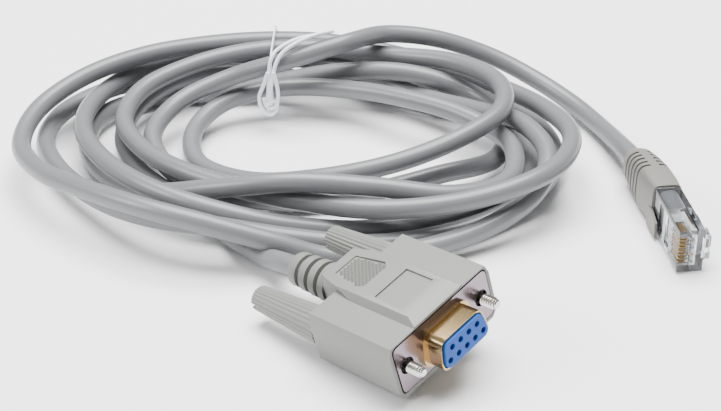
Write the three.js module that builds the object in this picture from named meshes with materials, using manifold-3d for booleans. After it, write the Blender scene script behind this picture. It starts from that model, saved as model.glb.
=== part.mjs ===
// Serial console cable: a nine-socket D connector at one end, a modular plug at the other,
// and a round jacketed cord between them that lies in a loose coil held by a tie.
// Millimetres, +Z up. Both connectors rest on the plane z = 0.

import * as THREE from 'three';
import { mergeVertices } from 'three/addons/utils/BufferGeometryUtils.js';
import Module from 'manifold-3d';

const wasm = await Module();
wasm.setup();

// Gap kept between separate pieces that touch in the real cable
const CLEAR = 0.3;

// Where the pieces lie on the table. The first origin of measurement is well in front of the
// coil, and TABLE_CENTRE moves the middle of the two connectors onto the origin.
const TABLE_CENTRE = { x: 30.09, y: 334.868 };
const SERIAL_POSE = { x: 18.4, y: 296.6, z: 12.992, rollX: -5.59, tiltY: -13.08, turnZ: 46.58 };
const MODULAR_POSE = { x: 80.6, y: 340.3, z: 0.45, turnZ: 7 };

// Cord
const CORD_DIAMETER = 5.2;
const CORD_SIDES = 10;
const CORD_STEPS = 200;

// D connector: hood. In its own frame x is to the right, y goes in towards the cord, z is up.
const FLANGE = { width: 30.8, height: 12.5, thickness: 1.0, corner: 1.6 };
const HOOD_RIM = 1.2;
const HOOD_HALF_WIDTH = FLANGE.width / 2 + HOOD_RIM;
const HOOD_DEPTH = 25;
const HOOD_BOTTOM = -7.5;
const HOOD_TOP = 6.9;
const HOOD_CORNER = 1.8;
const SPINE_TOP = 8.4;
const SPINE_HALF_WIDTH = 8.2;
const SPINE_END = 33;
const SPINE_BEVEL = 1.4;
const POCKET_DEPTH = 1.2;
const LABEL = { halfWidth: 5.4, front: 5.8, back: 13.9, depth: 0.4 };
const GRIP_WINDOW = { wide: 4.9, narrow: 3.5, front: 19.4, back: 28.2, depth: 0.5 };
const RELIEF = { end: 46.5, frontRadius: 4.8, backRadius: 4.25, core: 3.3, ribs: 4 };

// D connector: shell and insulator
const SHELL = { width: 16.3, height: 7.9, wall: 0.4, front: -5.7, corner: 2.5, sideSlope: 10 };
const INSULATOR_PROUD = 0.6;
const LIP = { grow: 0.8, front: -1.2 };
const SCREW_TO_EDGE = 2.9;
const SCREW_SPACING = FLANGE.width - 2 * SCREW_TO_EDGE;
const SOCKET_PITCH = 2.77;
const SOCKET_ROW_GAP = 2.84;
const SOCKET_HOLE_RADIUS = 0.75;

// Thumbscrews
const THREAD_RADIUS = 1.42;
const THREAD_PITCH = 0.64;
const SCREW_FRONT = -5;
const THUMB = { start: HOOD_DEPTH + CLEAR, end: 47.2, frontRadius: 4.4, backRadius: 3.1, flutes: 24 };

// Modular plug. In its own frame x points to the latch side, y goes in towards the cord, z is up.
const PLUG = { length: 21.5, thickness: 6.5, width: 11.7 };
const CONTACT_PITCH = 1.02;
const CONTACT_COUNT = 8;
const CONTACT_THICKNESS = 0.32;
const CONTACT_LENGTH = 4.6;
const WIRE_RADIUS = 0.42;
const WIRE_ROW = 0.7;
const WIRE_FRONT = 1.4;
const WIRE_END = 10.8;
const CAVITY = { front: 11.4, halfThickness: 2.85, halfWidth: 4.9 };
const BOOT_LENGTH = 24.5;
const BOOT = {
  end: PLUG.length + BOOT_LENGTH, sideBend: 1.2, grooves: 5, firstGroove: 11.2, grooveWidth: 0.9,
  groovePitch: 2.2, grooveDepth: 0.6,
};

// Tie: a flat strip round the bundle, at the far side of the coil
const TIE_WIDTH = 1.4;
const TIE_THICKNESS = 0.6;
const TIE_X = -25.2;

// The two loose ends of the tie, each from its twist in front of the bundle up over the strands
const TIE_ENDS = [
  [[-27, 416.4, 6.5], [-26, 415.6, 12], [-25.7, 417.8, 17.8], [-25, 419, 21.4], [-23, 421, 23.2],
    [-18, 423.5, 25], [-11.3, 424.9, 26]],
  [[-25, 416.2, 5.5], [-25.4, 415.2, 11.5], [-24.8, 417.8, 17.8], [-23, 419, 22],
    [-19, 421, 24.4], [-13, 424, 26], [-7.5, 425.8, 26.6]],
];

// The cord's path on the table, from the D connector round the coil to the modular plug.
// Each block is one turn, from the front of the coil clockwise over its left end.
const CORD_ROUTE = [
  [-24, 341.5, 4.5], [-34, 354.5, 3], [-46.5, 370.5, 3], [-59, 386, 3], [-65.5, 402, 4.5],
  [-63.5, 418, 6.5], [-52.5, 431.5, 8.5], [-35.5, 439, 7.5], [-16, 440.5, 4], [3, 436.5, 3],
  [20.5, 428, 3], [36.5, 416.5, 3], [46, 402, 3], [45.5, 386, 3], [35.5, 371.5, 3],

  [19, 361, 3], [0, 355, 3.5], [-19.5, 353.5, 6], [-38, 355.5, 9.5], [-54.5, 364, 11],
  [-67.5, 378.5, 11], [-75.5, 397, 10.5], [-74.5, 416.5, 10], [-64.5, 433.5, 10.5],
  [-49.5, 446, 11], [-31.5, 453, 10], [-12, 453.5, 7.5], [7.5, 449.5, 4.5], [25.5, 441, 3],
  [40.5, 428.5, 3], [50, 412.5, 3.5], [53, 394.5, 4], [48, 377, 4], [36.5, 363, 3.5],

  [20.5, 353.5, 3], [2, 349, 3], [-17, 347, 6], [-35, 346.5, 9.5], [-51, 351.5, 9],
  [-65.5, 363, 7], [-78.5, 379.5, 6], [-86.5, 398.5, 5.5], [-84.5, 417.5, 5], [-73, 432.5, 5],
  [-55.5, 442.5, 5], [-35.5, 446.5, 7], [-16, 444, 9], [1.5, 434.5, 9], [17, 422, 8],
  [31.5, 408.5, 10.5], [43.5, 394.5, 13.5], [49, 378.5, 12.5], [44, 363, 9], [30, 351.5, 5.5],

  [12.5, 345, 3.5], [-6, 342.5, 3], [-23, 341, 9], [-39, 342, 13.5], [-54, 347, 15],
  [-69, 357.5, 14], [-82.5, 370.5, 12], [-90.5, 386.5, 11], [-88.5, 404, 13],
  [-77.5, 419.5, 15.5], [-62, 431.5, 16.5], [-44, 440, 16], [-26, 445, 15], [-8.5, 446.5, 13.5],
  [8.5, 442.5, 12], [24, 434.5, 11], [38, 422, 11.5], [50, 406.5, 12.5], [56, 388.5, 14],
  [52.5, 371.5, 15], [42, 359, 15], [24.5, 352.5, 13],

  [5, 352.5, 11], [-14, 358, 10], [-32, 366, 9.5], [-47, 375.5, 9.5], [-58.5, 387.5, 9.5],
  [-65, 402.5, 10.5], [-61, 418, 12.5], [-47, 431, 14], [-29.5, 438, 15], [-11, 439, 15],
  [8, 434.5, 15], [26.5, 424.5, 17.5], [38, 409.5, 18.5], [37.5, 393, 18], [25.5, 380.5, 16],

  [8.5, 373.5, 12.5], [-10.5, 373, 8.5], [-29, 378.5, 4.5], [-43.5, 390.5, 3],
  [-46.5, 406.5, 4.5], [-38.5, 420, 7], [-23, 426, 8.5], [-5.5, 422.5, 10], [11, 413, 12],
  [27.5, 402.5, 12], [40, 388, 10.5], [38, 370, 9.5], [23.5, 359, 11.5],

  [4.5, 357.5, 14.5], [-16, 357.5, 16], [-36, 361.5, 12], [-53.5, 370, 6], [-68, 383.5, 3],
  [-75.5, 401.5, 3.5], [-73, 418.5, 4], [-60, 431, 3], [-42, 433, 3.5], [-23.5, 432.5, 7.5],
  [-5, 429.5, 12], [13.5, 424.5, 14], [31, 420.5, 10], [40.5, 406.5, 8], [36.5, 390, 5],
  [20.5, 380, 5.5],

  [3, 374.5, 3.5], [-15.5, 370, 3], [-34, 371, 4.5], [-49, 382, 4.5], [-57, 398, 7],
  [-51.5, 414.5, 9.5], [-36.5, 422, 14], [-20, 421.5, 19.5], [-5, 426, 22.5], [7, 437, 20.5],
  [22, 440.5, 17.5], [37.5, 441, 12], [50.5, 436, 7], [61, 425.5, 4], [67.5, 412, 3.5],
];

const radians = THREE.MathUtils.degToRad;

// Solids

function toSolid(geometry) {
  const bare = geometry.clone();
  bare.deleteAttribute('normal');
  bare.deleteAttribute('uv');
  const merged = mergeVertices(bare, 1e-4);
  return new wasm.Manifold(new wasm.Mesh({
    numProp: 3,
    vertProperties: new Float32Array(merged.attributes.position.array),
    triVerts: new Uint32Array(merged.index.array),
  }));
}

function join(...solids) {
  return solids.reduce((whole, next) => whole.add(next));
}

function cut(base, ...tools) {
  return tools.reduce((left, tool) => left.subtract(tool), base);
}

function toGeometry(solid) {
  const { vertProperties, triVerts } = solid.getMesh();
  const geometry = new THREE.BufferGeometry();
  geometry.setAttribute('position', new THREE.BufferAttribute(vertProperties, 3));
  geometry.setIndex(new THREE.BufferAttribute(triVerts, 1));
  geometry.computeVertexNormals();
  return geometry;
}

function piece(parent, name, solid, material) {
  const mesh = new THREE.Mesh(toGeometry(solid), material);
  mesh.name = name;
  parent.add(mesh);
  return mesh;
}

// Extrusions along each axis

function polygon(points) {
  return new THREE.Shape(points.map(([a, b]) => new THREE.Vector2(a, b)));
}

function rectangle(a0, b0, a1, b1) {
  return polygon([[a0, b0], [a1, b0], [a1, b1], [a0, b1]]);
}

function extrude(shape, depth, curveSegments) {
  return new THREE.ExtrudeGeometry(shape, { depth, bevelEnabled: false, curveSegments });
}

function alongX(shapeYZ, x0, x1, curveSegments = 6) {
  const turn = new THREE.Matrix4().makeBasis(
    new THREE.Vector3(0, 1, 0), new THREE.Vector3(0, 0, 1), new THREE.Vector3(1, 0, 0));
  const geometry = extrude(shapeYZ, x1 - x0, curveSegments).applyMatrix4(turn);
  return toSolid(geometry.translate(x0, 0, 0));
}

function alongY(shapeXZ, y0, y1, curveSegments = 6) {
  const geometry = extrude(shapeXZ, y1 - y0, curveSegments).rotateX(Math.PI / 2);
  return toSolid(geometry.translate(0, y1, 0));
}

function alongZ(shapeXY, z0, z1, curveSegments = 6) {
  return toSolid(extrude(shapeXY, z1 - z0, curveSegments).translate(0, 0, z0));
}

function box(x0, y0, z0, x1, y1, z1) {
  return alongZ(rectangle(x0, y0, x1, y1), z0, z1);
}

function turned(profile, segments) {
  const points = profile.map(([r, y]) => new THREE.Vector2(r, y));
  return toSolid(new THREE.LatheGeometry(points, segments));
}

function rod(x, z, radius, y0, y1, segments) {
  const geometry = new THREE.CylinderGeometry(radius, radius, y1 - y0, segments);
  return toSolid(geometry.translate(x, (y0 + y1) / 2, z));
}

// A polygon whose corners are rounded by arcs of one radius
function roundedPolygon(points, radius) {
  const shape = new THREE.Shape();
  const corners = points.map(([a, b]) => new THREE.Vector2(a, b));
  corners.forEach((corner, i) => {
    const before = corners[(i + corners.length - 1) % corners.length];
    const after = corners[(i + 1) % corners.length];
    const toBefore = before.clone().sub(corner).normalize();
    const toAfter = after.clone().sub(corner).normalize();
    const reach = radius / Math.tan(toBefore.angleTo(toAfter) / 2);
    const start = corner.clone().addScaledVector(toBefore, reach);
    const end = corner.clone().addScaledVector(toAfter, reach);
    if (i === 0) shape.moveTo(start.x, start.y);
    else shape.lineTo(start.x, start.y);
    shape.quadraticCurveTo(corner.x, corner.y, end.x, end.y);
  });
  return shape;
}

// The outline of the D shell, its wide side down, grown outward by a margin
function dOutline(grow) {
  const halfHeight = SHELL.height / 2 + grow;
  const slope = Math.tan(radians(SHELL.sideSlope));
  const bottom = SHELL.width / 2 + grow * (1 + slope);
  const top = bottom - 2 * halfHeight * slope;
  const corners = [[-bottom, -halfHeight], [bottom, -halfHeight], [top, halfHeight], [-top, halfHeight]];
  return roundedPolygon(corners, SHELL.corner + grow);
}

// Materials

function material(color, roughness, metalness, opacity = 1) {
  return new THREE.MeshStandardMaterial({
    color, roughness, metalness, opacity, transparent: opacity < 1,
  });
}

// D connector

function hoodWings() {
  const w = HOOD_HALF_WIDTH;
  const c = HOOD_CORNER;
  return alongY(polygon([
    [-w + c, HOOD_BOTTOM], [w - c, HOOD_BOTTOM], [w, HOOD_BOTTOM + c], [w, 4.6],
    [w - 0.9, HOOD_TOP], [-w + 0.9, HOOD_TOP], [-w, 4.6], [-w, HOOD_BOTTOM + c],
  ]), 0, HOOD_DEPTH);
}

function hoodSpine() {
  const s = SPINE_HALF_WIDTH;
  const side = alongX(polygon([
    [0, HOOD_BOTTOM], [28, HOOD_BOTTOM], [SPINE_END, HOOD_BOTTOM + 1.7], [SPINE_END, 6],
    [30.8, SPINE_TOP - 0.3], [22, SPINE_TOP], [2.5, SPINE_TOP], [0, 7.2],
  ]), -s, s);
  const plan = alongZ(polygon([
    [-s, 0], [s, 0], [s - 0.2, 20], [6, 28.6], [4.4, SPINE_END], [-4.4, SPINE_END],
    [-6, 28.6], [-s + 0.2, 20],
  ]), HOOD_BOTTOM - 1, SPINE_TOP + 1);
  const section = alongY(polygon([
    [-s, HOOD_BOTTOM], [s, HOOD_BOTTOM], [s, 6.8], [s - SPINE_BEVEL, SPINE_TOP],
    [-s + SPINE_BEVEL, SPINE_TOP], [-s, 6.8],
  ]), -1, SPINE_END + 1);
  return side.intersect(plan).intersect(section);
}

function strainRelief() {
  const pitch = (RELIEF.end - SPINE_END) / RELIEF.ribs;
  const profile = [[0, SPINE_END - 1], [RELIEF.core, SPINE_END - 1]];
  for (let i = 0; i < RELIEF.ribs; i += 1) {
    const t = i / (RELIEF.ribs - 1);
    const radius = THREE.MathUtils.lerp(RELIEF.frontRadius, RELIEF.backRadius, t);
    const start = SPINE_END + 0.6 + i * pitch;
    const end = Math.min(start + pitch - 1.2, RELIEF.end);
    profile.push([RELIEF.core, start], [radius, start + 0.1], [radius, end - 0.1]);
    if (i < RELIEF.ribs - 1) profile.push([RELIEF.core, end]);
    else profile.push([radius - 0.3, RELIEF.end], [0, RELIEF.end]);
  }
  return turned(profile, 24);
}

function gripWindow() {
  const g = GRIP_WINDOW;
  return alongZ(polygon([
    [-3.6, g.front - 0.8], [3.6, g.front - 0.8], [g.wide, g.front + 0.6], [g.narrow, g.back],
    [-g.narrow, g.back], [-g.wide, g.front + 0.6],
  ]), SPINE_TOP - g.depth, SPINE_TOP + 1);
}

function screwBores(radius, y0, y1) {
  return [-1, 1].map((side) => rod(side * SCREW_SPACING / 2, 0, radius, y0, y1, 24));
}

function hood() {
  const body = join(hoodWings(), hoodSpine(), strainRelief());
  const margin = CLEAR;
  const halfWidth = FLANGE.width / 2 + margin;
  const halfHeight = FLANGE.height / 2 + margin;
  const pocket = alongY(roundedPolygon([
    [-halfWidth, -halfHeight], [halfWidth, -halfHeight], [halfWidth, halfHeight],
    [-halfWidth, halfHeight],
  ], FLANGE.corner), -1, POCKET_DEPTH);
  const label = box(-LABEL.halfWidth, LABEL.front, SPINE_TOP - LABEL.depth,
    LABEL.halfWidth, LABEL.back, SPINE_TOP + 1);
  const bores = screwBores(THREAD_RADIUS + CLEAR, -1, HOOD_DEPTH + 1);
  return cut(body, pocket, label, gripWindow(), ...bores);
}

function shell() {
  const w = FLANGE.width / 2;
  const h = FLANGE.height / 2;
  const back = POCKET_DEPTH - CLEAR;
  const plate = alongY(roundedPolygon([[-w, -h], [w, -h], [w, h], [-w, h]], FLANGE.corner),
    back - FLANGE.thickness, back);
  const lip = alongY(dOutline(LIP.grow), LIP.front, 0);
  const tube = alongY(dOutline(0), SHELL.front, 0);
  const inside = alongY(dOutline(-SHELL.wall), SHELL.front - 1, back + 1);
  return cut(join(plate, lip, tube), inside, ...screwBores(THREAD_RADIUS + 0.6, -3, back + 1));
}

// The nine socket centres: five along the wide side and four between them
function socketCentres() {
  const centres = [];
  for (let i = 0; i < 5; i += 1) centres.push([(2 - i) * SOCKET_PITCH, -SOCKET_ROW_GAP / 2]);
  for (let i = 0; i < 4; i += 1) centres.push([(1.5 - i) * SOCKET_PITCH, SOCKET_ROW_GAP / 2]);
  return centres;
}

function insulator() {
  const front = SHELL.front - INSULATOR_PROUD;
  const block = alongY(dOutline(-SHELL.wall - CLEAR), front, POCKET_DEPTH - CLEAR);
  const holes = socketCentres().map(([x, z]) => rod(x, z, SOCKET_HOLE_RADIUS, -8, 2, 16));
  return cut(block, ...holes);
}

function socket([x, z]) {
  const sleeve = rod(x, z, SOCKET_HOLE_RADIUS - CLEAR, -5, POCKET_DEPTH - CLEAR, 12);
  return cut(sleeve, rod(x, z, 0.22, -6, -1, 8));
}

// Thumbscrews

function threadedScrew() {
  const root = THREAD_RADIUS - 0.35;
  const end = THUMB.end - 8;
  const profile = [[0, SCREW_FRONT], [root, SCREW_FRONT]];
  for (let y = SCREW_FRONT + 0.3; y < -0.3; y += THREAD_PITCH) {
    profile.push([THREAD_RADIUS, y + THREAD_PITCH * 0.3], [THREAD_RADIUS, y + THREAD_PITCH * 0.45]);
    profile.push([root, y + THREAD_PITCH * 0.85]);
  }
  profile.push([root, 1.5], [THREAD_RADIUS, 2], [THREAD_RADIUS, end], [0, end]);
  return turned(profile, 20);
}

function flutedGrip() {
  const shape = new THREE.Shape();
  const count = THUMB.flutes * 2;
  for (let i = 0; i < count; i += 1) {
    const angle = i / count * Math.PI * 2;
    const radius = i % 2 === 0 ? 1 : 0.93;
    const x = radius * Math.cos(angle);
    const z = radius * Math.sin(angle);
    if (i === 0) shape.moveTo(x, z);
    else shape.lineTo(x, z);
  }
  const length = THUMB.end - THUMB.start;
  const geometry = extrude(shape, length, 1).rotateX(Math.PI / 2).translate(0, THUMB.end, 0);
  const position = geometry.attributes.position;
  for (let i = 0; i < position.count; i += 1) {
    const t = (position.getY(i) - THUMB.start) / length;
    const radius = THREE.MathUtils.lerp(THUMB.frontRadius, THUMB.backRadius, t);
    position.setX(i, position.getX(i) * radius);
    position.setZ(i, position.getZ(i) * radius);
  }
  const bore = rod(0, 0, THREAD_RADIUS + CLEAR, THUMB.start - 1, THUMB.end - 8 + CLEAR, 20);
  const slot = box(-4, THUMB.end - 1.1, -0.55, 4, THUMB.end + 1, 0.55);
  return cut(toSolid(geometry), bore, slot);
}

function serialConnector(parent) {
  const group = new THREE.Group();
  const pose = SERIAL_POSE;
  group.position.set(pose.x, pose.y, pose.z);
  group.rotation.set(radians(pose.rollX), radians(pose.tiltY), radians(pose.turnZ), 'ZYX');
  parent.add(group);

  const moulded = () => material('#b2b4ae', 0.55, 0);
  piece(group, 'db9_hood', hood(), moulded());
  piece(group, 'db9_shell', shell(), material('#c9c3bb', 0.25, 1));
  piece(group, 'db9_insulator', insulator(), material('#2273bd', 0.45, 0));
  socketCentres().forEach((centre, i) => {
    piece(group, `db9_socket_${i + 1}`, socket(centre), material('#d9b25c', 0.25, 1));
  });
  [['left', -1], ['right', 1]].forEach(([side, sign]) => {
    const grip = piece(group, `thumbscrew_grip_${side}`, flutedGrip(), moulded());
    const screw = piece(group, `thumbscrew_screw_${side}`, threadedScrew(),
      material('#c8c8c6', 0.3, 1));
    grip.position.x = sign * SCREW_SPACING / 2;
    screw.position.x = sign * SCREW_SPACING / 2;
  });
  return group;
}

// Modular plug

// The eight contact and wire heights, centred on the plug's width
function contactHeights() {
  const heights = [];
  for (let i = 0; i < CONTACT_COUNT; i += 1) {
    heights.push(PLUG.width / 2 + (i - (CONTACT_COUNT - 1) / 2) * CONTACT_PITCH);
  }
  return heights;
}

function latch() {
  const face = PLUG.thickness / 2;
  const lever = alongZ(polygon([
    [face - 0.5, 0.5], [face + 1.2, 0.5], [face + 2.1, 1.4], [face + 2.4, 8], [face + 2.7, 14.5],
    [face + 1.7, 14.7], [face + 1.4, 8.2], [face + 0.9, 2.8], [face - 0.5, 2.8],
  ]), PLUG.width / 2 - 1.6, PLUG.width / 2 + 1.6);
  const shoulder = alongZ(polygon([
    [face - 0.5, 0.5], [face + 1.2, 0.5], [face + 2.1, 1.4], [face + 2.3, 6.2],
    [face + 1.3, 6.4], [face + 0.9, 2.8], [face - 0.5, 2.8],
  ]), PLUG.width / 2 - 3, PLUG.width / 2 + 3);
  return join(lever, shoulder);
}

function plugBody() {
  const face = PLUG.thickness / 2;
  const middle = PLUG.width / 2;
  const block = alongY(roundedPolygon([
    [-face, 0], [face, 0], [face, PLUG.width], [-face, PLUG.width],
  ], 0.35), 0, PLUG.length, 2);
  const cavity = box(-CAVITY.halfThickness, CAVITY.front, middle - CAVITY.halfWidth,
    CAVITY.halfThickness, PLUG.length + 1, middle + CAVITY.halfWidth);
  const wireRoom = WIRE_RADIUS + CLEAR;
  const halfRow = (CONTACT_COUNT - 1) / 2 * CONTACT_PITCH + wireRoom;
  const channel = box(WIRE_ROW - wireRoom, WIRE_FRONT - CLEAR, middle - halfRow,
    WIRE_ROW + wireRoom, CAVITY.front + 1, middle + halfRow);
  const slots = contactHeights().map((z) => box(-face - 1, -1, z - CONTACT_THICKNESS / 2 - 0.15,
    -0.6, 1 + CONTACT_LENGTH + CLEAR, z + CONTACT_THICKNESS / 2 + 0.15));
  const bars = [7.6, 13.2].map((y) => box(-face - 1, y, middle - 4.2, -face + 0.45, y + 3.6,
    middle + 4.2));
  return cut(join(block, latch()), cavity, channel, ...slots, ...bars);
}

function contactBlade(z) {
  const face = PLUG.thickness / 2;
  return alongZ(polygon([
    [-face + 0.35, 1.0], [-face + 0.35, 1 + CONTACT_LENGTH], [-0.95, 1 + CONTACT_LENGTH],
    [-0.95, 1.0], [-1.8, 0.6], [-face + 0.8, 0.6],
  ].reverse()), z - CONTACT_THICKNESS / 2, z + CONTACT_THICKNESS / 2);
}

// A soft rectangle between an ellipse and a box
function softOutline(halfX, halfZ, power, count = 28) {
  const points = [];
  for (let i = 0; i < count; i += 1) {
    const angle = i / count * Math.PI * 2;
    const c = Math.cos(angle);
    const s = Math.sin(angle);
    points.push([
      Math.sign(c) * halfX * Math.abs(c) ** (2 / power),
      Math.sign(s) * halfZ * Math.abs(s) ** (2 / power),
    ]);
  }
  return points;
}

// The boot's half sizes along its length, from the plug to the cord
const BOOT_SECTIONS = [
  { y: PLUG.length + CLEAR, halfX: 3.8, halfZ: 6.3, power: 6 },
  { y: PLUG.length + 5, halfX: 4.2, halfZ: 6.3, power: 5 },
  { y: PLUG.length + 11.5, halfX: 4.5, halfZ: 6.1, power: 4 },
  { y: PLUG.length + 17.5, halfX: 4.4, halfZ: 5.6, power: 3.2 },
  { y: PLUG.length + 22.8, halfX: 4.1, halfZ: 4.9, power: 2.6 },
  { y: BOOT.end, halfX: 3.5, halfZ: 4.2, power: 2.4 },
];

function bootAxisX(y) {
  const t = (y - PLUG.length) / (BOOT.end - PLUG.length);
  return -BOOT.sideBend * t * t;
}

// Skin over the boot's sections, drawn in by an inset
function bootBody(inset) {
  const count = 28;
  const vertices = [];
  const triangles = [];
  BOOT_SECTIONS.forEach(({ y, halfX, halfZ, power }) => {
    softOutline(halfX - inset, halfZ - inset, power, count).forEach(([x, z]) => {
      vertices.push(bootAxisX(y) + x, y, PLUG.width / 2 + z);
    });
  });
  for (let i = 0; i < BOOT_SECTIONS.length - 1; i += 1) {
    for (let k = 0; k < count; k += 1) {
      const a = i * count + k;
      const b = i * count + (k + 1) % count;
      triangles.push(a, a + count, b, b, a + count, b + count);
    }
  }
  const last = (BOOT_SECTIONS.length - 1) * count;
  for (let k = 1; k < count - 1; k += 1) {
    triangles.push(0, k, k + 1);
    triangles.push(last, last + k + 1, last + k);
  }
  return new wasm.Manifold(new wasm.Mesh({
    numProp: 3,
    vertProperties: new Float32Array(vertices),
    triVerts: new Uint32Array(triangles),
  }));
}

function boot() {
  const body = bootBody(0);
  const core = bootBody(BOOT.grooveDepth);
  const grooves = [];
  for (let i = 0; i < BOOT.grooves; i += 1) {
    const y = PLUG.length + BOOT.firstGroove + i * BOOT.groovePitch;
    const x = bootAxisX(y);
    grooves.push(box(x - 9, y, -2, x - 1.1, y + BOOT.grooveWidth, PLUG.width + 2));
    grooves.push(box(x + 1.1, y, -2, x + 9, y + BOOT.grooveWidth, PLUG.width + 2));
  }
  const face = PLUG.thickness / 2;
  const rear = PLUG.length;
  const tongue = alongX(polygon([
    [rear - 5.5, 0.1], [rear - 4.9, 4.2], [rear - 0.5, 5.6], [rear + 2, 5.6], [rear + 2, 0.1],
  ]), -face - CLEAR - 0.7, -face - CLEAR);
  return join(cut(body, ...grooves.map((tool) => tool.subtract(core))), tongue);
}

function jacketEnd() {
  const outline = polygon(softOutline(CAVITY.halfThickness - CLEAR, CAVITY.halfWidth - CLEAR, 3.4, 24));
  return alongY(outline, CAVITY.front + 0.4, PLUG.length - 0.1).translate([0, 0, PLUG.width / 2]);
}

function modularPlug(parent) {
  const group = new THREE.Group();
  const pose = MODULAR_POSE;
  group.position.set(pose.x, pose.y, pose.z);
  group.rotation.z = radians(pose.turnZ);
  parent.add(group);

  piece(group, 'rj45_plug', plugBody(), material('#e8edf2', 0.08, 0, 0.35));
  piece(group, 'rj45_boot', boot(), material('#96938c', 0.6, 0));
  piece(group, 'rj45_jacket_end', jacketEnd(), material('#a6a7a6', 0.5, 0));
  const wireColors = ['#3b8f52', '#e9e4d6', '#cf4a2c', '#e9e4d6', '#2f5fa8', '#e9e4d6', '#7a4a2a',
    '#e9e4d6'];
  contactHeights().forEach((z, i) => {
    piece(group, `rj45_contact_${i + 1}`, contactBlade(z), material('#d8ab52', 0.2, 1));
    piece(group, `rj45_wire_${i + 1}`, rod(WIRE_ROW, z, WIRE_RADIUS, WIRE_FRONT, WIRE_END, 12),
      material(wireColors[i], 0.5, 0));
  });
  return group;
}

// Cord and tie

function pointOf(group, x, y, z) {
  group.updateMatrixWorld(true);
  return group.localToWorld(new THREE.Vector3(x, y, z));
}

function cordPath(serial, modular) {
  const axisX = bootAxisX(BOOT.end);
  const middle = PLUG.width / 2;
  const points = [
    pointOf(serial, 0, RELIEF.end + CLEAR, 0),
    pointOf(serial, 0, RELIEF.end + 6, -0.6),
    ...CORD_ROUTE.map((point) => new THREE.Vector3(...point)),
    pointOf(modular, axisX - 0.7, BOOT.end + 7, middle - 0.3),
    pointOf(modular, axisX, BOOT.end + CLEAR, middle),
  ];
  const path = new THREE.CatmullRomCurve3(points, false, 'catmullrom', 0.5);
  path.arcLengthDivisions = 4000;
  return path;
}

function circleShape(radius, sides) {
  const points = [];
  for (let i = 0; i < sides; i += 1) {
    const angle = i / sides * Math.PI * 2;
    points.push([radius * Math.cos(angle), radius * Math.sin(angle)]);
  }
  return polygon(points);
}

function sweep(shape, path, steps) {
  return toSolid(new THREE.ExtrudeGeometry(shape, { steps, extrudePath: path, curveSegments: 1 }));
}

function cord(path) {
  return sweep(circleShape(CORD_DIAMETER / 2, CORD_SIDES), path, CORD_STEPS);
}

// The taut outline round the strands of the bundle, seen along the strands
function bundleOutline(path, reach) {
  const strands = [];
  const samples = path.getPoints(4000);
  samples.forEach((point, i) => {
    const next = samples[i + 1];
    if (!next || point.y < 395) return;
    if ((point.x - TIE_X) * (next.x - TIE_X) <= 0) strands.push([point.y, point.z]);
  });
  const points = [];
  for (let i = 0; i < 40; i += 1) {
    const angle = i / 40 * Math.PI * 2;
    const dy = Math.cos(angle);
    const dz = Math.sin(angle);
    const furthest = strands.reduce((best, strand) => (
      strand[0] * dy + strand[1] * dz > best[0] * dy + best[1] * dz ? strand : best));
    points.push([furthest[0] + reach * dy, furthest[1] + reach * dz]);
  }
  return points;
}

function tieStrip(points) {
  const line = new THREE.CatmullRomCurve3(points.map((point) => new THREE.Vector3(...point)));
  const t = TIE_THICKNESS / 2;
  const w = TIE_WIDTH / 2 - 0.1;
  return sweep(rectangle(-t, -w, t, w), line, 14);
}

function tie(path) {
  const inner = CORD_DIAMETER / 2 + CLEAR + 0.35;
  const ring = polygon(bundleOutline(path, inner + TIE_THICKNESS));
  ring.holes.push(polygon(bundleOutline(path, inner)));
  const band = alongX(ring, TIE_X - TIE_WIDTH / 2, TIE_X + TIE_WIDTH / 2);
  return join(band, ...TIE_ENDS.map(tieStrip));
}

const group = new THREE.Group();
const table = new THREE.Group();
table.position.set(-TABLE_CENTRE.x, -TABLE_CENTRE.y, 0);
const bench = new THREE.Group();
const serial = serialConnector(bench);
const modular = modularPlug(bench);
const path = cordPath(serial, modular);
piece(bench, 'cable_jacket', cord(path), material('#a8a9a9', 0.45, 0));
piece(bench, 'twist_tie', tie(path), material('#e8e8ee', 0.4, 0));
table.add(bench);
group.add(table);

export default group;
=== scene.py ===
# %% [markdown]
# # Serial console cable
#
# A grey cord lies in a loose coil, with a serial D connector at one end and a clear modular
# plug at the other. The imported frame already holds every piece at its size. This lesson
# dresses that frame: it gives each piece its finish, and makes again the few pieces whose
# look needs more than the plain solid has.
#
# Places are worked out on a table in millimetres and then moved to the frame's metres. Two
# poses say how the connectors lie there, so their small pieces can be placed by their own
# measures.

# %% Load the frame
import math

import bmesh
import bpy
from mathutils import Euler, Matrix, Vector


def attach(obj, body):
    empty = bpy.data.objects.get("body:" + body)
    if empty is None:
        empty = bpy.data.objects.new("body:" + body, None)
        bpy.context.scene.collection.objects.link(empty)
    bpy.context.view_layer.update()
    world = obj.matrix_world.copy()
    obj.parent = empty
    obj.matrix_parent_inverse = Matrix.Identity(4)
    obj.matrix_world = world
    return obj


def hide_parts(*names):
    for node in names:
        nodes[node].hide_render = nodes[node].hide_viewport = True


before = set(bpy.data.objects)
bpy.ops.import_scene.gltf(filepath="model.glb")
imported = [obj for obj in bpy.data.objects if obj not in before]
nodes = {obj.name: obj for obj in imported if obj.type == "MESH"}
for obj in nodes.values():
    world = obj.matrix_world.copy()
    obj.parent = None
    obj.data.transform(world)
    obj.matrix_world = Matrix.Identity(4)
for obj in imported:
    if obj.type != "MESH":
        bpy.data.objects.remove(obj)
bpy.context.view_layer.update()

# %% Table and poses
MM = 0.001
TABLE_CENTRE = Vector((30.09, 334.868, 0))


def on_table(x, y, z):
    """A point on the table in millimetres, in the frame's metres."""
    return (Vector((x, y, z)) - TABLE_CENTRE) * MM


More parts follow.
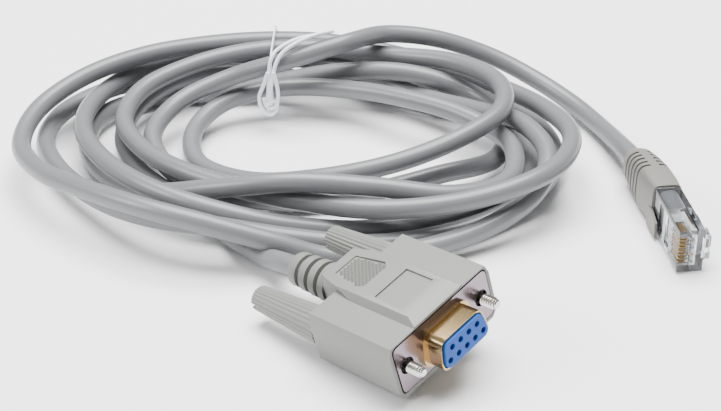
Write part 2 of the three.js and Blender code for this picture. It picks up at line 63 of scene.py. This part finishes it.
def pose(x, y, z, roll, tilt, turn):
    """A connector's own millimetres to the frame's metres; angles in degrees."""
    angles = Euler([math.radians(a) for a in (roll, tilt, turn)], "XYZ")
    return Matrix.Translation(on_table(x, y, z)) @ angles.to_matrix().to_4x4() @ Matrix.Scale(MM, 4)


SERIAL = pose(18.4, 296.6, 12.992, -5.59, -13.08, 46.58)
MODULAR = pose(80.6, 340.3, 0.45, 0, 0, 7)
print("serial connector at", [round(v, 4) for v in SERIAL.translation])
print("modular plug at", [round(v, 4) for v in MODULAR.translation])

# %% [markdown]
# A small product is photographed from some way off through a long lens, so that its near
# end doesn't swell. A short lens from close by would frame it as well, but would change
# the proportions. The camera stands over the origin of the table's measures, looks along
# +Y and down by about 30 degrees.

# %% Camera
CAMERA_HEIGHT = 217.8
LOOK_DOWN = 30.26
LENS = 82.0
SENSOR_WIDTH = 36

camera_data = bpy.data.cameras.new("camera")
camera_data.lens = LENS
camera_data.sensor_width = SENSOR_WIDTH
camera = bpy.data.objects.new("camera", camera_data)
camera.location = on_table(0, 0, CAMERA_HEIGHT)
camera.rotation_euler = (math.radians(90 - LOOK_DOWN), 0, 0)
bpy.context.collection.objects.link(camera)
bpy.context.scene.camera = camera
print("camera at", [round(v, 3) for v in camera.location])

# %% [markdown]
# A finish starts from what the real surface is and how it was made. Colours are sRGB hex
# values, as a colour picker gives them, and one function turns them into the linear values
# that the shader works with. Another adds a node with its settings.
#
# Even plastic is never quite even. The unevenness could be painted as an image, but a noise
# needs no file and its grain is a real size in millimetres.

# %% Material helpers


def linear(hexcode):
    channels = [int(hexcode[i:i + 2], 16) / 255 for i in (1, 3, 5)]
    return [c / 12.92 if c <= 0.04045 else ((c + 0.055) / 1.055) ** 2.4 for c in channels] + [1]


def add_node(tree, kind, **values):
    node = tree.nodes.new(kind)
    for key, value in values.items():
        if key in node.inputs:
            node.inputs[key].default_value = value
        else:
            setattr(node, key, value)
    return node


def make_material(name, color, roughness, metallic=0.0, **sockets):
    material = bpy.data.materials.new(name)
    material.use_nodes = True
    shader = material.node_tree.nodes["Principled BSDF"]
    shader.inputs["Base Color"].default_value = linear(color)
    shader.inputs["Roughness"].default_value = roughness
    shader.inputs["Metallic"].default_value = metallic
    for key, value in sockets.items():
        shader.inputs[key.replace("_", " ")].default_value = value
    return material


def add_skin(material, grain_mm, height_mm):
    """Fine unevenness of a moulded or extruded skin, sized in millimetres."""
    tree = material.node_tree
    place = add_node(tree, "ShaderNodeTexCoord")
    noise = add_node(tree, "ShaderNodeTexNoise", Scale=1 / (grain_mm * MM), Detail=3.0)
    bump = add_node(tree, "ShaderNodeBump", Distance=height_mm * MM, Strength=1.0)
    shader = tree.nodes["Principled BSDF"]
    tree.links.new(place.outputs["Object"], noise.inputs["Vector"])
    tree.links.new(noise.outputs["Fac"], bump.inputs["Height"])
    tree.links.new(bump.outputs["Normal"], shader.inputs["Normal"])
    return material


print("orange in linear:", [round(c, 3) for c in linear("#cf4a2c")])

# %% [markdown]
# Most of the cable is soft PVC. Its IOR of about 1.53 is near the shader's own 1.5, which
# stays. What tells the three kinds apart is how each one was formed.

# %% Plastics
# Extruded through a polished die: the smoothest of the three. It shows one long soft
# highlight along the cord, and waves of 6 mm keep that from being ruler straight.
jacket_pvc = add_skin(make_material("extruded_pvc_jacket", "#6c6d6f", 0.32),
                      grain_mm=6.0, height_mm=0.05)
# Moulded in an etched tool: a fine grain spreads the light, so that flat faces look matt.
hood_pvc = add_skin(make_material("moulded_pvc_hood", "#747570", 0.45),
                    grain_mm=0.35, height_mm=0.012)
# Softer and a little browner than the hood, with no gloss.
boot_pvc = add_skin(make_material("soft_moulded_boot", "#706e69", 0.5),
                    grain_mm=0.5, height_mm=0.012)
# Moulded hard plastic, strongly coloured: the low specular keeps its blue deep.
insulator_blue = make_material("moulded_blue_insulator", "#0a4da0", 0.45,
                               Specular_IOR_Level=0.25)
# A thin wire in glossy white plastic, the brightest thing in the picture.
tie_white = make_material("white_plastic_covered_wire", "#eceef4", 0.35)
# Moulded polycarbonate, IOR 1.58: seen by its bright edges and by what it bends behind it.
clear = make_material("clear_polycarbonate", "#f4f7fb", 0.04, Transmission_Weight=1.0, IOR=1.58)
print("plastics done:", len(bpy.data.materials), "materials")

# %% [markdown]
# A plated metal has hardly a colour of its own. It shows what stands around it, tinted by
# the plating, so its base colour is the tint and its roughness says how sharp the
# reflections are. Metals keep the default IOR.

# %% Metals
# Nickel on pressed steel: cool, with a hint of violet.
nickel = make_material("nickel_plated_steel", "#8a7e86", 0.24, 1.0)
# The same steel with a painted warm reflection: the drawn D tube reflects warm light, and that
# reflection is painted in as a yellow tint.
nickel_painted_warm_reflection = make_material("nickel_plated_steel_painted_warm_reflection", "#b39a70", 0.2, 1.0)
# Turned and plated: paler, so that the thread's flanks sparkle.
screw_steel = make_material("plated_screw_steel", "#cfcdc8", 0.22, 1.0)
# A thin gold layer on the contacts: small warm glints.
gold = make_material("gold_plated_contact", "#e3b765", 0.2, 1.0)
print("metals done:", len(bpy.data.materials), "materials")

# %% Wire insulation
# Thin coloured plastic, seen through the clear plug as faint stripes.
wire_colors = {"green": "#3b8f52", "orange": "#cf4a2c", "blue": "#2f5fa8", "brown": "#7a4a2a",
               "pale": "#e9e4d6"}
wire_materials = {name: make_material(f"wire_insulation_{name}", color, 0.45)
                  for name, color in wire_colors.items()}
print("all materials:", len(bpy.data.materials))

# %% [markdown]
# The cord is twisted wires inside one round extruded jacket. It could be a mesh swept ring
# by ring, but a curve with a round bevel keeps the route as a list of points and the
# section as one number. The route is the one in the frame, point by point: each block of
# points is about one turn of the coil.

# %% Cord route
CORD_DIAMETER = 5.2
RELIEF_END = 46.5
BOOT_END = 46.0
BOOT_BEND = -1.2
PLUG_WIDTH = 11.7
CORD_ROUTE = [
    (-24, 341.5, 4.5), (-34, 354.5, 3), (-46.5, 370.5, 3), (-59, 386, 3), (-65.5, 402, 4.5),
    (-63.5, 418, 6.5), (-52.5, 431.5, 8.5), (-35.5, 439, 7.5), (-16, 440.5, 4), (3, 436.5, 3),
    (20.5, 428, 3), (36.5, 416.5, 3), (46, 402, 3), (45.5, 386, 3), (35.5, 371.5, 3),

    (19, 361, 3), (0, 355, 3.5), (-19.5, 353.5, 6), (-38, 355.5, 9.5), (-54.5, 364, 11),
    (-67.5, 378.5, 11), (-75.5, 397, 10.5), (-74.5, 416.5, 10), (-64.5, 433.5, 10.5),
    (-49.5, 446, 11), (-31.5, 453, 10), (-12, 453.5, 7.5), (7.5, 449.5, 4.5), (25.5, 441, 3),
    (40.5, 428.5, 3), (50, 412.5, 3.5), (53, 394.5, 4), (48, 377, 4), (36.5, 363, 3.5),

    (20.5, 353.5, 3), (2, 349, 3), (-17, 347, 6), (-35, 346.5, 9.5), (-51, 351.5, 9),
    (-65.5, 363, 7), (-78.5, 379.5, 6), (-86.5, 398.5, 5.5), (-84.5, 417.5, 5),
    (-73, 432.5, 5), (-55.5, 442.5, 5), (-35.5, 446.5, 7), (-16, 444, 9), (1.5, 434.5, 9),
    (17, 422, 8), (31.5, 408.5, 10.5), (43.5, 394.5, 13.5), (49, 378.5, 12.5), (44, 363, 9),
    (30, 351.5, 5.5),

    (12.5, 345, 3.5), (-6, 342.5, 3), (-23, 341, 9), (-39, 342, 13.5), (-54, 347, 15),
    (-69, 357.5, 14), (-82.5, 370.5, 12), (-90.5, 386.5, 11), (-88.5, 404, 13),
    (-77.5, 419.5, 15.5), (-62, 431.5, 16.5), (-44, 440, 16), (-26, 445, 15),
    (-8.5, 446.5, 13.5), (8.5, 442.5, 12), (24, 434.5, 11), (38, 422, 11.5),
    (50, 406.5, 12.5), (56, 388.5, 14), (52.5, 371.5, 15), (42, 359, 15), (24.5, 352.5, 13),

    (5, 352.5, 11), (-14, 358, 10), (-32, 366, 9.5), (-47, 375.5, 9.5), (-58.5, 387.5, 9.5),
    (-65, 402.5, 10.5), (-61, 418, 12.5), (-47, 431, 14), (-29.5, 438, 15), (-11, 439, 15),
    (8, 434.5, 15), (26.5, 424.5, 17.5), (38, 409.5, 18.5), (37.5, 393, 18),
    (25.5, 380.5, 16),

    (8.5, 373.5, 12.5), (-10.5, 373, 8.5), (-29, 378.5, 4.5), (-43.5, 390.5, 3),
    (-46.5, 406.5, 4.5), (-38.5, 420, 7), (-23, 426, 8.5), (-5.5, 422.5, 10), (11, 413, 12),
    (27.5, 402.5, 12), (40, 388, 10.5), (38, 370, 9.5), (23.5, 359, 11.5),

    (4.5, 357.5, 14.5), (-16, 357.5, 16), (-36, 361.5, 12), (-53.5, 370, 6), (-68, 383.5, 3),
    (-75.5, 401.5, 3.5), (-73, 418.5, 4), (-60, 431, 3), (-42, 433, 3.5), (-23.5, 432.5, 7.5),
    (-5, 429.5, 12), (13.5, 424.5, 14), (31, 420.5, 10), (40.5, 406.5, 8), (36.5, 390, 5),
    (20.5, 380, 5.5),

    (3, 374.5, 3.5), (-15.5, 370, 3), (-34, 371, 4.5), (-49, 382, 4.5), (-57, 398, 7),
    (-51.5, 414.5, 9.5), (-36.5, 422, 14), (-20, 421.5, 19.5), (-5, 426, 22.5),
    (7, 437, 20.5), (22, 440.5, 17.5), (37.5, 441, 12), (50.5, 436, 7), (61, 425.5, 4),
    (67.5, 412, 3.5),
]
print("route points:", len(CORD_ROUTE))

# %% Curve helpers


def smooth_through(points, per_span):
    """The uniform Catmull-Rom curve through the points, with its ends reflected."""
    ends = [points[0] * 2 - points[1]] + points + [points[-1] * 2 - points[-2]]
    line = []
    for i in range(len(points) - 1):
        a, b, c, d = ends[i:i + 4]
        for k in range(per_span):
            t = k / per_span
            line.append(0.5 * (2 * b + (c - a) * t + (2 * a - 5 * b + 4 * c - d) * t ** 2
                               + (3 * b - a - 3 * c + d) * t ** 3))
    return line + [points[-1]]


def curve_piece(name, line, bevel, extrude=0.0, resolution=4, material=None, cyclic=False):
    data = bpy.data.curves.new(name, "CURVE")
    data.dimensions = "3D"
    data.bevel_depth = bevel
    data.bevel_resolution = resolution
    data.extrude = extrude
    data.use_fill_caps = True
    spline = data.splines.new("POLY")
    spline.points.add(len(line) - 1)
    for point, place in zip(spline.points, line):
        point.co = (*place, 1)
    spline.use_cyclic_u = cyclic
    spline.use_smooth = True
    piece = bpy.data.objects.new(name, data)
    bpy.context.collection.objects.link(piece)
    data.materials.append(material)
    return piece


bend = smooth_through([Vector((0, 0, 0)), Vector((1, 0, 0)), Vector((1, 1, 0))], 4)
print("a curve through 3 points has", len(bend), "points")

# %% [markdown]
# The cord leaves the strain relief straight, along the connector's own axis, and enters the
# boot the same way. So the two ends of the route are given in the connectors' measures, a
# small gap away from the pieces that they meet.

# %% Cord
GAP = 0.3
SPAN_STEPS = 8
route = [SERIAL @ Vector((0, RELIEF_END + GAP, 0)), SERIAL @ Vector((0, RELIEF_END + 6, -0.6))]
route += [on_table(*point) for point in CORD_ROUTE]
route += [MODULAR @ Vector((BOOT_BEND - 0.7, BOOT_END + 7, PLUG_WIDTH / 2 - 0.3)),
          MODULAR @ Vector((BOOT_BEND, BOOT_END + GAP, PLUG_WIDTH / 2))]
cord_line = smooth_through(route, SPAN_STEPS)
cord = curve_piece("cord_jacket", cord_line, CORD_DIAMETER / 2 * MM, material=jacket_pvc,
                   resolution=6)
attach(cord, "cable")
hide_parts("cable_jacket")

# %% [markdown]
# The connectors are moulded, pressed and turned pieces, and their solids have the right
# shape already. They could be modelled again by hand, but a copy stays true to the frame.
# What a plain solid lacks is the soft edge of a real one. So each copy has its seams merged,
# its sharp edges broken by a small bevel that catches the light, and its round faces shaded
# smooth.

# %% Dressing a node
MERGE_DISTANCE = 1e-6
FLAT_ANGLE = 1


def dress(node, name, material, body, edge_mm=0.15, segments=2, angle=32):
    data = nodes[node].data.copy()
    data.materials.clear()
    data.materials.append(material)
    mesh = bmesh.new()
    mesh.from_mesh(data)
    bmesh.ops.remove_doubles(mesh, verts=mesh.verts, dist=MERGE_DISTANCE)
    bmesh.ops.dissolve_limit(mesh, angle_limit=math.radians(FLAT_ANGLE), verts=mesh.verts,
                             edges=mesh.edges)
    limit = math.radians(angle)
    for face in mesh.faces:
        face.smooth = True
    for edge in mesh.edges:
        sharp = len(edge.link_faces) != 2 or edge.calc_face_angle(0) > limit
        edge.smooth = not sharp
    mesh.to_mesh(data)
    mesh.free()
    data.name = name
    piece = bpy.data.objects.new(name, data)
    bpy.context.collection.objects.link(piece)
    if edge_mm:
        break_edges(piece, edge_mm, segments, limit)
    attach(piece, body)
    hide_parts(node)
    return piece


def break_edges(piece, edge_mm, segments, limit):
    bevel = piece.modifiers.new("edge", "BEVEL")
    bevel.width = edge_mm * MM
    bevel.segments = segments
    bevel.limit_method = "ANGLE"
    bevel.angle_limit = limit
    bevel.use_clamp_overlap = True
    bevel.harden_normals = True


hood = dress("db9_hood", "serial_hood", hood_pvc, "cable", edge_mm=0.3, segments=3)
print("hood faces:", len(hood.data.polygons))

# %% [markdown]
# The shell is one pressed sheet, drawn forward into the D tube. On the real one the flat
# flange looks cool and the drawn tube warm, because the tube reflects warm light; that
# reflection is painted as a second, yellow material. Two separate pieces would show a seam,
# so the one mesh gets two materials, and the faces in front of the flange take the second.

# %% Pressed shell
FLANGE_FRONT = -0.3
shell = dress("db9_shell", "serial_shell", nickel, "cable", edge_mm=0.35,
              segments=4)
# The faces of the D tube take the painted warm reflection.
shell.data.materials.append(nickel_painted_warm_reflection)
to_serial = SERIAL.inverted()
for face in shell.data.polygons:
    if (to_serial @ face.center).y < FLANGE_FRONT:
        face.material_index = 1
print("warm faces:", sum(face.material_index for face in shell.data.polygons))

# %% Insulator, sockets and grips
SOCKETS = 9
insulator = dress("db9_insulator", "serial_insulator", insulator_blue, "cable",
                  edge_mm=0.15)
for i in range(1, SOCKETS + 1):
    dress(f"db9_socket_{i}", f"serial_socket_{i}", gold, "cable", edge_mm=0)
for side in ("left", "right"):
    dress(f"thumbscrew_grip_{side}", f"grip_{side}", hood_pvc, f"{side}_thumbscrew",
          edge_mm=0.12, angle=20)
print("insulator faces:", len(insulator.data.polygons))

# %% [markdown]
# The modular plug is a clear moulding, so what is inside it shows: the end of the jacket,
# eight coloured wires and eight contact blades. Each stays a piece of its own, because the
# clear body only looks right with real things behind it.

# %% Modular plug
boot = dress("rj45_boot", "modular_boot", boot_pvc, "cable", edge_mm=0.12)
plug = dress("rj45_plug", "modular_plug", clear, "cable", edge_mm=0.1)
jacket_end = dress("rj45_jacket_end", "modular_jacket_end", jacket_pvc, "cable",
                   edge_mm=0.2)
WIRES = ["green", "pale", "orange", "pale", "blue", "pale", "brown", "pale"]
for i, color in enumerate(WIRES, start=1):
    dress(f"rj45_contact_{i}", f"modular_contact_{i}", gold, "cable",
          edge_mm=0.04, segments=1)
    dress(f"rj45_wire_{i}", f"modular_wire_{i}", wire_materials[color], "cable",
          edge_mm=0)

# %% [markdown]
# The hood's grip window is moulded with small pyramids, for the thumb. They could be bump
# in the material, but real ones catch the light on one side, so they are a mesh: rows of
# pyramids, every second row moved by half a pitch, kept inside the tapered window.

# %% Knurl
KNURL_PITCH = 1.15
KNURL_HEIGHT = 0.42
KNURL_HALF = KNURL_PITCH * 0.46
KNURL_START = 19.3
KNURL_END = 28.0
WINDOW_FLOOR = 7.9
WINDOW_LIFT = 0.02
WINDOW_WIDE = 4.9
WINDOW_NARROW = 3.5
TAPER_START = 20
TAPER_END = 28.2


def mesh_piece(name, vertices, faces, material):
    data = bpy.data.meshes.new(name)
    data.from_pydata(vertices, [], faces)
    data.materials.append(material)
    piece = bpy.data.objects.new(name, data)
    bpy.context.collection.objects.link(piece)
    return piece


def window_half_width(y):
    t = (y - TAPER_START) / (TAPER_END - TAPER_START)
    return WINDOW_WIDE + (WINDOW_NARROW - WINDOW_WIDE) * max(t, 0)


def knurl():
    vertices, faces = [], []
    for row in range(int((KNURL_END - KNURL_START) / (KNURL_PITCH / 2))):
        y = KNURL_START + row * KNURL_PITCH / 2
        shift = KNURL_PITCH / 2 if row % 2 else 0
        for column in range(-5, 6):
            x = column * KNURL_PITCH + shift
            if abs(x) + KNURL_HALF > window_half_width(y) or y + KNURL_HALF > KNURL_END:
                continue
            base = len(vertices)
            ring = [(x - KNURL_HALF, y), (x, y - KNURL_HALF), (x + KNURL_HALF, y),
                    (x, y + KNURL_HALF)]
            vertices += [SERIAL @ Vector((a, b, WINDOW_FLOOR + WINDOW_LIFT)) for a, b in ring]
            vertices.append(SERIAL @ Vector((x, y, WINDOW_FLOOR + KNURL_HEIGHT)))
            faces += [(base + k, base + (k + 1) % 4, base + 4) for k in range(4)]
            faces.append((base + 3, base + 2, base + 1, base))
    return mesh_piece("grip_knurl", vertices, faces, hood_pvc)


grip = knurl()
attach(grip, "cable")
print("knurl faces:", len(grip.data.polygons))

# %% [markdown]
# Each thumbscrew's rod is turned, with a thread on the tip that stands in front of the
# flange. The frame has plain rings there. A real thread climbs as it goes round, and its
# slant shows where the tip is bright, so the rod is made again: a turned profile, and a
# ridge that follows a helix. It turns with its grip.

# %% Screw shape
SCREW_OFFSET = 12.5
THREAD_RADIUS = 1.42
THREAD_ROOT = 1.07
THREAD_PITCH = 0.64
THREAD_TURNS = 6
THREAD_START = -4.5
RIDGE_HALF = 0.27
RIDGE_SUNK = 0.03
LEAD_IN = 0.3
AROUND = 28
ROD_PROFILE = [(-5, 0.8), (-4.75, THREAD_ROOT), (1.5, THREAD_ROOT), (2, THREAD_RADIUS),
               (39.2, THREAD_RADIUS)]


def around_screw(center_x, y, radius, step):
    angle = 2 * math.pi * step / AROUND
    return SERIAL @ Vector((center_x + radius * math.cos(angle), y, radius * math.sin(angle)))


def rod_mesh(center_x):
    vertices = [around_screw(center_x, y, radius, k) for y, radius in ROD_PROFILE
                for k in range(AROUND)]
    faces = []
    for row in range(len(ROD_PROFILE) - 1):
        for k in range(AROUND):
            a, b = row * AROUND + k, row * AROUND + (k + 1) % AROUND
            faces.append((a, b, b + AROUND, a + AROUND))
    faces.append(tuple(reversed(range(AROUND))))
    faces.append(tuple(range((len(ROD_PROFILE) - 1) * AROUND, len(ROD_PROFILE) * AROUND)))
    return vertices, faces


def screw_mesh(center_x):
    vertices, faces = rod_mesh(center_x)
    start = len(vertices)
    steps = THREAD_TURNS * AROUND
    foot = THREAD_ROOT - RIDGE_SUNK
    for i in range(steps + 1):
        y = THREAD_START + THREAD_PITCH * i / AROUND
        crest = THREAD_RADIUS - LEAD_IN * max(0, 1 - 2 * i / AROUND)
        for shift, radius in ((-RIDGE_HALF, foot), (0, crest), (RIDGE_HALF, foot)):
            vertices.append(around_screw(center_x, y + shift, radius, i))
    for i in range(steps):
        a = start + 3 * i
        faces += [(a, a + 3, a + 4, a + 1), (a + 1, a + 4, a + 5, a + 2), (a + 2, a + 5, a + 3, a)]
    faces += [(start, start + 1, start + 2)]
    faces += [(start + 3 * steps + 2, start + 3 * steps + 1, start + 3 * steps)]
    return vertices, faces


print("thread length:", THREAD_TURNS * THREAD_PITCH, "mm")

# %% Screws
for side, sign in (("left", -1), ("right", 1)):
    screw = mesh_piece(f"screw_{side}", *screw_mesh(sign * SCREW_OFFSET), screw_steel)
    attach(screw, f"{side}_thumbscrew")
    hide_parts(f"thumbscrew_screw_{side}")
    print(screw.name, "faces:", len(screw.data.polygons))

# %% [markdown]
# The tie is a thin wire in white plastic. It goes round the bundle of strands, is twisted
# in front and ends in two loose tails. The loop could be drawn by hand, but the strands say
# where it must lie: for each direction round the bundle, the furthest strand holds it out.

# %% Tie loop
TIE_X = -25.2
TIE_REACH = CORD_DIAMETER / 2 + 0.95
BUNDLE_FRONT = 395
LOOP_POINTS = 48
BAND_ROUND = 0.25
BAND_FLAT = 0.75


def bundle_loop():
    strands = []
    for a, b in zip(cord_line, cord_line[1:]):
        pa, pb = a / MM + TABLE_CENTRE, b / MM + TABLE_CENTRE
        if pa.y > BUNDLE_FRONT and (pa.x - TIE_X) * (pb.x - TIE_X) <= 0:
            strands.append((pa.y, pa.z))
    loop = []
    for i in range(LOOP_POINTS):
        angle = i / LOOP_POINTS * 2 * math.pi
        dy, dz = math.cos(angle), math.sin(angle)
        y, z = max(strands, key=lambda s: s[0] * dy + s[1] * dz)
        loop.append(on_table(TIE_X, y + TIE_REACH * dy, z + TIE_REACH * dz))
    return loop


tie_loop = curve_piece("tie_loop", bundle_loop(), BAND_ROUND * MM, extrude=BAND_FLAT * MM,
                       material=tie_white, cyclic=True)
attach(tie_loop, "cable")
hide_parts("twist_tie")
print("loop points:", len(tie_loop.data.splines[0].points))

# %% Tie tails and twist
TAILS = {
    "tie_tail_left": [(-27, 416.4, 6.5), (-26, 415.6, 12), (-25.7, 417, 17.8),
                      (-25, 418.6, 21.4), (-23, 421, 23.2), (-18, 423.5, 25), (-11.3, 424.9, 26)],
    "tie_tail_right": [(-25, 416.2, 5.5), (-25.4, 415.2, 11.5), (-24.4, 417, 17.8),
                       (-22.6, 418.8, 22), (-19, 421, 24.4), (-13, 424, 26), (-7.5, 425.8, 26.6)],
    "tie_twist_left": [(-26, 416.4, 18), (-27.4, 415.8, 14), (-28.6, 416.2, 10.6),
                       (-28, 415.4, 7.4), (-26, 415, 5.6), (-24.2, 415.4, 6.4),
                       (-23.6, 416, 8.6), (-25, 415.2, 9.6), (-26.4, 415, 8.4)],
    "tie_twist_right": [(-24.4, 416.4, 18), (-23.4, 415.8, 13.5), (-23.4, 416, 9.6),
                        (-24.6, 415.2, 7.6), (-26.6, 415.4, 8.2), (-27.4, 416, 10.4)],
}
TIE_RADIUS = 0.55
for name, points in TAILS.items():
    line = smooth_through([on_table(*p) for p in points], SPAN_STEPS)
    tail = curve_piece(name, line, TIE_RADIUS * MM, material=tie_white)
    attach(tail, "cable")

# %% [markdown]

# %% [markdown]
# The stage is a plain pale floor. One wide light overhead gives the soft highlight along
# the cord, and a weaker one from the left keeps the hood's side from going flat. A bright
# world alone would light everything evenly and lose the shapes, so it stays dim.

# %% Stage
FLOOR_HALF = 3
FLOOR_DROP = 0.0002
floor_material = make_material("studio_floor", "#f7f7f8", 0.9)
floor = mesh_piece("floor", [(-FLOOR_HALF, -FLOOR_HALF, 0), (FLOOR_HALF, -FLOOR_HALF, 0),
                             (FLOOR_HALF, FLOOR_HALF, 0), (-FLOOR_HALF, FLOOR_HALF, 0)],
                   [(0, 1, 2, 3)], floor_material)
floor.location.z = -FLOOR_DROP
print("floor is", 2 * FLOOR_HALF, "m wide")

# %% Lights


def area_light(name, place, target, size, power):
    data = bpy.data.lights.new(name, "AREA")
    data.size = size
    data.energy = power
    light = bpy.data.objects.new(name, data)
    light.location = place
    light.rotation_euler = (Vector(target) - Vector(place)).to_track_quat("-Z", "Y").to_euler()
    bpy.context.collection.objects.link(light)
    return light


WORLD_STRENGTH = 0.34
area_light("overhead", place=(0.0, 0.2, 0.9), target=(-0.02, 0.02, 0), size=0.8, power=36)
area_light("left_side", place=(-0.8, -0.2, 0.6), target=(0, 0, 0), size=0.4, power=7)
world = bpy.data.worlds.new("studio")
world.use_nodes = True
world.node_tree.nodes["Background"].inputs["Color"].default_value = (1, 1, 1, 1)
world.node_tree.nodes["Background"].inputs["Strength"].default_value = WORLD_STRENGTH
bpy.context.scene.world = world
print("lights:", len(bpy.data.lights))
